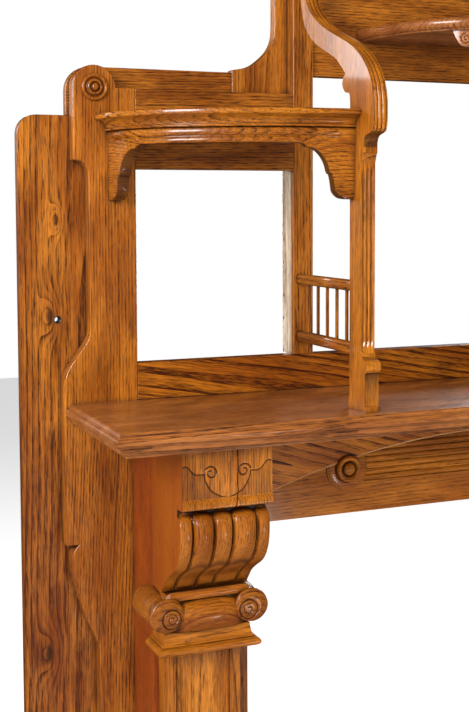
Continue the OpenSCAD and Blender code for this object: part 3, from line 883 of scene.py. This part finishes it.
# %% Outline of a console
console_low, console_high = box("console_left")
CONSOLE = console_high[0] - console_low[0]
FLUTE_Y, FLUTE_LOW, FLUTE_HIGH = -239.0, 1313.0, 1594.0
straight = [(-256, 1220), (-256, 1227), (-252, 1228), (-252, 1277), (-254, 1279)]
bead = curve([(-255, 1280), (-259, 1284), (-259.5, 1290), (-256, 1296), (-250, 1299)], 4)
foot_curve = np.vstack([bead, curve([(-247, 1300), (-242, 1304), (-239, 1312)], 4)])
cove = curve([(-246, 1618), (-246.5, 1628), (-252, 1636.5), (-266, 1640.5)], 6)
s_curve = curve([(-272.5, 1643), (-276, 1655), (-276.5, 1672), (-275.5, 1692), (-268, 1717),
                 (-252, 1741), (-227, 1763), (-192, 1782), (-145, 1801), (-99, 1822), (-63, 1847),
                 (-44, 1872), (-34, 1900), (-30, 1940)], 8)
back_curve = curve([(-16, 1902), (-26, 1880), (-38, 1837), (-55, 1814), (-81, 1795), (-117, 1778),
                    (-152, 1763), (-175, 1746), (-187, 1735)], 4)
nose = curve([(-179, 1728), (-177, 1718), (-186, 1707), (-200, 1703), (-203, 1690)], 5)
flute_part = np.column_stack([np.full(120, FLUTE_Y), np.linspace(FLUTE_LOW + 0.5, FLUTE_HIGH + 2, 120)])
step = [(-244, 1610), (-246, 1612)]
face_line = np.vstack([straight, foot_curve, flute_part, step, cove, s_curve])
back_line = np.vstack([[(0, 1940), (0, 1905)], back_curve, nose,
                       [(-203, 1240), (-199, 1232), (-199, 1220)]])
print("a console's outline has", len(face_line), "points in front and", len(back_line), "behind")

# %% [markdown]
# Up the straight part run three flutes with pointed ends, and along the S the same three
# lanes carry reeds that end square. Both are a round hollow or swelling across a lane,
# sunk along the outline's own normal. The grooves and the lines of the foot are darker,
# and the cove under the reeds is painted dark as painted shade.

# %% Flutes and reeds of a console
LANE_EDGE, LANES, REED_LOW = 0.07, 3, 1641.0
FLUTE_SINK, REED_CUT = 3.0, 3.2
slope = np.gradient(face_line, axis=0)
slope /= np.linalg.norm(slope, axis=1, keepdims=True)
normal = np.column_stack([-slope[:, 1], slope[:, 0]])
u = np.linspace(0, 1, 49)
lane = (u - LANE_EDGE) / (1 - 2 * LANE_EDGE) * LANES
off_middle = np.abs(2 * (lane % 1) - 1)
bowl = np.sqrt(unit(1 - off_middle**2)) * ((lane > 0) & (lane < LANES))
line_y, line_z = face_line.T
low_end = (line_z[:, None] - FLUTE_LOW) / 9 - off_middle[None]
high_end = (FLUTE_HIGH - line_z[:, None]) / 9 - off_middle[None]
flutes = unit(np.minimum(low_end, high_end)) * bowl[None] * (line_y[:, None] > FLUTE_Y - 1)
on_s = (line_z > REED_LOW) & (np.arange(len(line_z)) >= len(line_z) - len(s_curve))
square_end = unit((line_z[:, None] - REED_LOW) / 1.5)
reeds = square_end * on_s[:, None] * (1 - bowl[None]) * (off_middle[None] > 0)
sink = FLUTE_SINK * flutes + REED_CUT * reeds * ((lane > 0.02) & (lane < LANES - 0.02))[None]
console_face = grid(console_low[0] + CONSOLE * u, line_y[:, None] - normal[:, 0, None] * sink,
                    line_z[:, None] - normal[:, 1, None] * sink)
groove_darkening = np.maximum(0.30 * (flutes > 0.4) * (sink > 2.2), 0.80 * (reeds > 0.75)) * (sink > 0.5)
# Painted shade in the cove that turns in under the reeds.
cove_shade = 0.62 * ((line_z > 1620) & (line_z < REED_LOW) & (line_y < -245))
foot_lines = 0.8 * (np.abs(line_z - 1278.5) < 2) + 0.5 * (np.abs(line_z - 1301) < 2.5)
cove_shade_and_foot_lines = np.maximum(cove_shade, foot_lines)[:, None] * (u > 0) * (u < 1)
console_shade_and_darkening = np.maximum(groove_darkening, cove_shade_and_foot_lines)
print("grid over a console's face:", console_face.shape[:2])


# %% [markdown]
# The grid is closed by a flat face on each side, with the outline of the board, and by
# strips up its back.

# %% Consoles
def console_shell():
    """Points, faces and wax: the grid, then the back line at each side of the board."""
    rows, columns = console_face.shape[:2]
    count = len(back_line)
    ends = [np.column_stack([np.full(count, x), back_line]) for x in (console_low[0], console_high[0])]
    points = np.vstack([console_face.reshape(-1, 3), *ends])
    shade_and_darkening = np.append(console_shade_and_darkening, np.zeros(2 * count))
    first = rows * columns
    second = first + count
    left = [*range(0, first, columns), *range(first, second)]
    right = [*range(columns - 1, first, columns), *range(second, second + count)]
    faces = quads(rows, columns, False) + [left, right]
    faces += [[first + k, first + k + 1, second + k + 1, second + k] for k in range(count - 1)]
    faces.append([*range(first - columns, first), second, first])
    faces.append([*range(columns), second + count - 1, first + count - 1])
    return points, faces, shade_and_darkening


for side in SIDES:
    from_shells(f"console_{side}", [console_shell()], side, pith=(20, 120), ring=4.5, tone=0.14)

# %% [markdown]
# ## Carved brackets
# The bracket under the shelf is the showpiece: an S seen from the side, cut across its
# front into five strips, with a thin lip and a square block above. The side outline
# comes first, as distances out from the stiles and heights above the floor.

# %% Side outline of a bracket
WIDTH = capital_high[0] - capital_low[0] - 8
left_x = (capital_low[0] + capital_high[0] - WIDTH) / 2
LIP_Z, BELLY_Z, FOOT_Z = 1091.0, 1050.0, 945.0
contour = np.vstack([
    curve([(138, FOOT_Z), (141, 950), (148, 958), (158, 969), (174, 980), (196, 993), (211, 1006),
           (221, 1022), (226, 1040), (227, 1058), (225.5, 1070), (220, 1077), (213, 1080)], 9),
    np.column_stack([np.full(14, 212.0), np.linspace(1080.8, 1090.4, 14)]),
    curve([(213, LIP_Z), (222, 1091.3), (234, 1091.6)], 5),
    curve([(236.5, 1092), (239.6, 1093.5), (240, 1097), (239.4, 1102), (237, 1105.5)], 5),
    [(236, 1106.5)],
    np.column_stack([np.full(110, 236.0), np.linspace(1107.5, capital_high[2], 110)])])
print("a bracket's outline has", len(contour), "points and is", WIDTH, "mm wide")

# %% [markdown]
# Two of the strips are broad and swell like cushions, the middle one less, and the outer
# two lie nearly flat. A groove with a flat floor parts them, darkened. Painted shade lies
# over their round tops under the lip and across the turn of the S.

# %% Five strips
STRIPS = np.array([0, 0.145, 0.375, 0.585, 0.855, 1])
SWELL = np.array([3.0, 9.0, 6.5, 9.0, 3.0])
GROOVE, GROOVE_SINK = 3.4, 3.2


def strips(u, z):
    """Height and darkening of the five strips: each is a round top (1 - t^2)^0.7, t from -1 to
    1 across it, highest at the belly, with a round upper end. The darkening is darker
    grooves, painted shade under the lip and where the S turns under, and an even tone."""
    t = np.zeros_like(u)
    swell = np.zeros_like(u)
    gap = np.full(u.shape, 1e9)
    for start, end, rise in zip(STRIPS, STRIPS[1:], SWELL):
        inside = (u >= start) & (u <= end)
        middle_u = (start + end) / 2
        t = np.where(inside, (u - middle_u) / (end - middle_u), t)
        swell = np.where(inside, rise, swell)
    for border in STRIPS[1:-1]:
        gap = np.minimum(gap, np.abs(u - border) * WIDTH)
    cut = unit((GROOVE - gap) / 1.6)
    belly = 0.30 + 0.70 * np.exp(-((z - BELLY_Z) / 30)**2)
    top = 1076 + 9 * (1 - t**2)
    ends = unit((z - FOOT_Z - 2) / 8) * np.sqrt(unit((top - z) / 8))
    on = z < LIP_Z
    # Painted shadow across the broad strips where the S turns under.
    shade = np.exp(-((z - 1004 + 12 * t**2) / 5)**2) * (swell > 4)
    # Darker groove floors, and painted shade in the band over the round tops under the lip.
    shade_and_darkening = on * np.maximum(unit((1.5 - gap) / 0.8), unit((z - top + 1.5) / 1.5))
    round_top = unit(1 - t**2)**0.7
    # An even darker tone over the strips, plus the painted shadow.
    patina_and_shade = on * (0.14 + 0.5 * shade)
    return on * ends * (swell * belly * round_top - GROOVE_SINK * cut), np.maximum(0.9 * shade_and_darkening, patina_and_shade)


print("strips from", FOOT_Z, "to", LIP_Z, "mm")


# %% [markdown]
# The face of the block has a shallow shield with curled ends, cut in with a single line,
# and the ground outside it is a hair lower. In the left block a glue joint has opened.

# %% Shield and crack
BLOCK_Z = capital_high[2] - 92
SHIELD_SINK, GROUND_SINK, CRACK_SINK = 1.5, 0.7, 3.0


def shield(u, z):
    """The line cut in the block, and the ground cut back outside it: a bowl between two
    curled ends, with a shoulder that steps out to each side."""
    x = np.abs(u - 0.5) * WIDTH
    h = z - BLOCK_Z
    line = np.vstack([[-2, 17], curve([(2, 17), (12, 20), (25, 28), (34, 42), (37, 54)], 12),
                      curve([(37, 54), (44, 53.5), (52, 55), (58, 61), (64, 67), (71, 66)], 10)])
    far = np.full(x.shape, 1e9)
    for part in np.array_split(line, 12):
        far = np.minimum(far, np.hypot(x[..., None] - part[:, 0], h[..., None] - part[:, 1]).min(-1))
    deep = unit(1 - far / 1.5)
    deep = np.maximum(deep, spiral_cut(x - 26, h - 55, 11, 3.0, 1.25, 0.2, 1.5))
    border = np.interp(x, line[:, 0], line[:, 1])
    ground = unit((border - h) / 1.5)
    on = z > 1108
    shade_and_darkening = np.maximum(deep * 1.6, 0.30 * ground).clip(0, 0.92)
    return on * (SHIELD_SINK * deep + GROUND_SINK * ground), on * shade_and_darkening


def split(u, z):
    """The open glue joint: a thin wandering crack through block and lip."""
    wander = 0.615 + 0.004 * np.sin(z / 7) - 0.03 * unit((1112 - z) / 20)
    return unit(1 - np.abs(u - wander) * WIDTH / 1.1) * (z > 1086)


print("shield from", round(BLOCK_Z + 17), "to", round(BLOCK_Z + 67), "mm")


# %% [markdown]
# One grid carries all of it: the outline up, 210 steps across, and each point moved along
# the outline's normal by the height of the carving there.

# %% Brackets and blocks
u = np.sort(np.concatenate([np.linspace(0, 1, 210), STRIPS[1:-1]]))
out, z = contour.T
grid_u, grid_z = np.meshgrid(u, z)
line_slope = np.gradient(contour, axis=0)
line_slope /= np.linalg.norm(line_slope, axis=1, keepdims=True)
strip_height, strip_shade_and_darkening = strips(grid_u, grid_z)
shield_depth, shield_darkening = shield(grid_u, grid_z)
for side in SIDES:
    crack = split(grid_u, grid_z) * (side == "left")
    height = strip_height - shield_depth - CRACK_SINK * crack
    height[:, [0, -1]] = 0
    shade_and_darkening = np.maximum(np.maximum(strip_shade_and_darkening, shield_darkening), crack)
    shade_and_darkening[:, [0, -1]] = 0
    capital = grid(left_x + WIDTH * grid_u, -(out[:, None] + height * line_slope[:, 1, None]),
                   z[:, None] - height * line_slope[:, 0, None])
    from_shells(f"capital_{side}", [backed(capital, capital_high[1], shade_and_darkening)], side,
                pith=(190, 10), ring=4.0, tone=0.12,
                red=lambda p: np.maximum(0.75 * (np.abs(np.abs(p[:, 0]) / MM + left_x) < 0.4),
                                         0.22 * (p[:, 2] / MM < LIP_Z)))

# %% [markdown]
# ## Scroll caps
# Under the bracket lies a flat fillet, and under that a cushion held between two scrolls.
# A scroll is a roll whose axis points forwards: its outline is an egg, its side draws in
# to a waist, and its face carries a spiral line round a small round eye.

# %% Scrolls
cap_low, cap_high = box("scroll_cap_left")
pilaster_x = (capital_low[0] + capital_high[0]) / 2
SCROLL_Z, SCROLL_X, EYE, FACE_Y, WAIST_Y = 909, 63, 14.5, -166.0, -140
DITCH_SINK, SPIRAL_SINK, EYE_RISE = 2.6, 1.5, 2.4


def scroll(way):
    """P(i, t): a radius R(t) that is 31 above, 35 outside, 20 below and 20 inside, times a
    share s(i) along the profile of roll, waist and face, at depth y(i)."""
    steps = 144
    t = np.linspace(0, 2 * np.pi, steps, endpoint=False)
    keys = np.radians([-90, -45, 0, 45, 90, 135, 180, 225, 270])
    radii = np.interp((t + np.pi / 2) % (2 * np.pi) - np.pi / 2, keys,
                      [20, 27, 35, 34.5, 31, 25, 20, 18.5, 20])
    smooth = np.convolve(np.tile(radii, 3), np.ones(13) / 13, "same")[steps:2 * steps]
    roll = curve([(0.94, cap_high[1]), (0.97, -70), (0.98, -100), (0.95, -120), (0.80, -132), (0.74, -142),
                  (0.82, -151), (0.99, -157)], 6)
    dome = curve([(1.0, -159), (0.97, -161.5), (0.90, -163), (0.76, -164.6), (0.60, FACE_Y)], 6)
    face_s = np.linspace(0.60, 0.02, 46)[1:]
    share = np.concatenate([[0.02], roll[:, 0], dome[:, 0], face_s])
    depth = np.concatenate([[cap_high[1]], roll[:, 1], dome[:, 1], np.full(len(face_s), FACE_Y)])[:, None]
    r = share[:, None] * smooth[None]
    x = r * np.cos(t)
    up = r * np.sin(t)
    eye_r = np.hypot(x, up)
    on_face = unit((WAIST_Y - depth) / 8)
    ditch = np.exp(-((eye_r - EYE) / 1.3)**2)
    boss = np.sqrt(unit(1 - (eye_r / EYE)**6))
    turns = spiral_cut(x, up, 9.5, 3.0, 1.2, 1.2, 1.4)
    y = depth + on_face * (DITCH_SINK * ditch + SPIRAL_SINK * turns)
    eye_y = FACE_Y + 1.5 - EYE_RISE * boss + SPIRAL_SINK * turns
    y = np.where((on_face > 0) & (eye_r < EYE), np.minimum(y, eye_y), y)
    shade_and_darkening = np.maximum(on_face * np.maximum(ditch, turns).clip(0, 1) * 0.85, 0.24)
    # Painted shade on the waist, where the roll draws in.
    shade_and_darkening = np.maximum(shade_and_darkening, 0.6 * np.exp(-((depth - WAIST_Y) / 10)**2))
    rings = grid(pilaster_x + way * (SCROLL_X + x), y, SCROLL_Z + up)
    return rings, closed(rings), shade_and_darkening


print("scrolls at", round(pilaster_x - SCROLL_X), "and", round(pilaster_x + SCROLL_X), "mm")


# %% [markdown]
# The cushion is a barrel that lies across and fills the room up to the fillet. On the
# left cap a corner of the fillet has broken away.

# %% Cushion, fillet and cap
def cushion():
    """A barrel lying across: its upper edge is an arch, its front bulges (1 - v^2) in
    height, swells to the middle, and draws in where it meets the scrolls."""
    s = np.linspace(-1, 1, 72)[:, None]
    v = np.linspace(-1, 1, 41)[None]
    swell = 1 - 0.60 * np.abs(s)**2.6
    bulge = np.sqrt(unit(1 - np.abs(v + 0.15)**2.2 / 1.36))
    x = pilaster_x + s * (SCROLL_X - 4)
    y = -147 - 23 * swell * bulge**1.2
    low = cap_low[2] + 1.0
    high = cap_high[2] - 14 - 9 * np.abs(s)**2.2
    z = low + (high - low) * (v + 1) / 2
    # Painted shade along the upper and lower edges and towards the ends, where the cushion draws in to the
    # scrolls; an even darker tone elsewhere.
    shade_and_darkening = 0.8 * unit((np.abs(v) - 0.93) / 0.07) + 0.7 * unit((np.abs(s) - 0.64) / 0.26)
    return backed(grid(x, y, z), WAIST_Y, shade_and_darkening.clip(0.12, 0.85))


def fillet(side):
    """The flat slab over the cushion, with a thin step under it and a broken corner."""
    edge = profile(
        (-4, cap_low[2]), [(-4, 929)], [(-2.6, 930.4), (-0.4, 931.4)], [(2, 932)],
        [(2.6, 938), (0, cap_high[2])])
    path, away = around_box(pilaster_x - 66, pilaster_x + 66, -150, cap_high[1], 60)
    rings, faces = swept(edge, path, away)
    if side == "left":
        near = unit(1 - np.hypot(rings[..., 0] - (pilaster_x - 68), rings[..., 1] + 152) / 9)
        broken = near * (rings[..., 2] > 930)
        rings[..., 2] -= broken * 5
        rings[..., 1] += broken * 4
    return rings, faces


for side in SIDES:
    from_shells(f"scroll_cap_{side}", [fillet(side), cushion(), scroll(-1), scroll(1)], side,
                grain="x", pith=(50, 40), ring=4.5, tone=0.06, red=0.24)

# %% [markdown]
# ## Bare rebates and screw holes
# The side mirrors are gone, and the strips that held them have split away. What is left
# is a thin bare strip with a ragged edge, pale on the inner post; on the stile the strip is
# painted dark, as painted shade on the side of the rebate. A small dark iron rim lies in
# each screw hole of the wing boards.


# %% Rebates and rims
def ragged(x0, x1, y0, y1, z0, z1, bite, steps=220):
    """A thin strip up z whose edge at y1 is bitten: y1(z) = y1 - bite * |sum of three
    waves|, with sharper teeth where the waves meet."""
    z = np.linspace(z0, z1, steps)
    u = np.linspace(0, 1, steps)
    waves = np.sin(31 * u + 1.3) + 0.8 * np.sin(73 * u) + 0.5 * np.sin(171 * u + 0.7)
    edge = y1 - bite * (np.abs(waves) / 2.3)**1.5
    sides = [(np.full(steps, x0), np.full(steps, y0)), (np.full(steps, x1), np.full(steps, y0)),
             (np.full(steps, x1), edge), (np.full(steps, x0), edge)]
    rings = np.stack([np.stack([x, y, z], -1) for x, y in sides], 1)
    return rings, closed(rings)


HOLE_IN, HOLE_Z, HOLE_RADIUS = 60.0, 1353.0, 4.45
rail_top = box("lower_rail")[1][2]
rebate_top = box("upper_rail_left")[0][2]
stile_edge = box("stile_left")[1][0]
wing_corner = box("wing_board_left")[0]
rim_outline = [(HOLE_RADIUS, -3), (6.4, -3), (6.4, 0.2), (5.6, 0.5), (HOLE_RADIUS, -0.6), (HOLE_RADIUS, -3)]
for side in SIDES:
    strip = ragged(post_low[0] - 0.7, post_low[0] + 0.5, post_low[1] + 8, post_high[1] - 1,
                   rail_top, rebate_top, 9)
    piece(f"bare_rebate_{side}", [], mesh_of([strip], side),
          finish="bare", pith=(60, 20), ring=4, tone=0.1, bevel=0)
    # Painted shade: the thin strip on the edge of the stile is made dark.
    points, faces = ragged(0, 1.2, 0, 7.5, rail_top, rebate_top, 5)
    across = grid(stile_edge - 1 + points[..., 1], 21 + points[..., 0], points[..., 2])
    piece(f"rebate_painted_shade_{side}", [], mesh_of([(across, faces)], side),
          finish="shelf", pith=(60, 20), ring=4, tone=-0.4, bevel=0)
    rim, rim_faces, _ = turned(rim_outline, (wing_corner[0] + HOLE_IN, HOLE_Z), wing_corner[1])
    piece(f"screw_rim_{side}", [], mesh_of([(rim, rim_faces)], side), finish="iron", bevel=0)

# %% [markdown]
# ## Floor
# A wide pale plane to stand on, no part of the mantel.

# %% Floor
floor_mesh = bpy.data.meshes.new("floor")
floor_mesh.from_pydata([(-9, -9, 0), (9, -9, 0), (9, 9, 0), (-9, 9, 0)], [], [(0, 1, 2, 3)])
floor = bpy.data.objects.new("floor", floor_mesh)
bpy.context.scene.collection.objects.link(floor)
pale = Finish("pale floor")
pale.put(pale.shader.inputs["Base Color"], (0.93, 0.93, 0.93, 1))
pale.put(pale.shader.inputs["Roughness"], 0.7)
pale.put(pale.shader.inputs["Emission Color"], (1, 1, 1, 1))
pale.put(pale.shader.inputs["Emission Strength"], 0.30)
floor_mesh.materials.append(pale.material)
floor.visible_glossy = False
print("floor:", len(floor_mesh.polygons), "face")
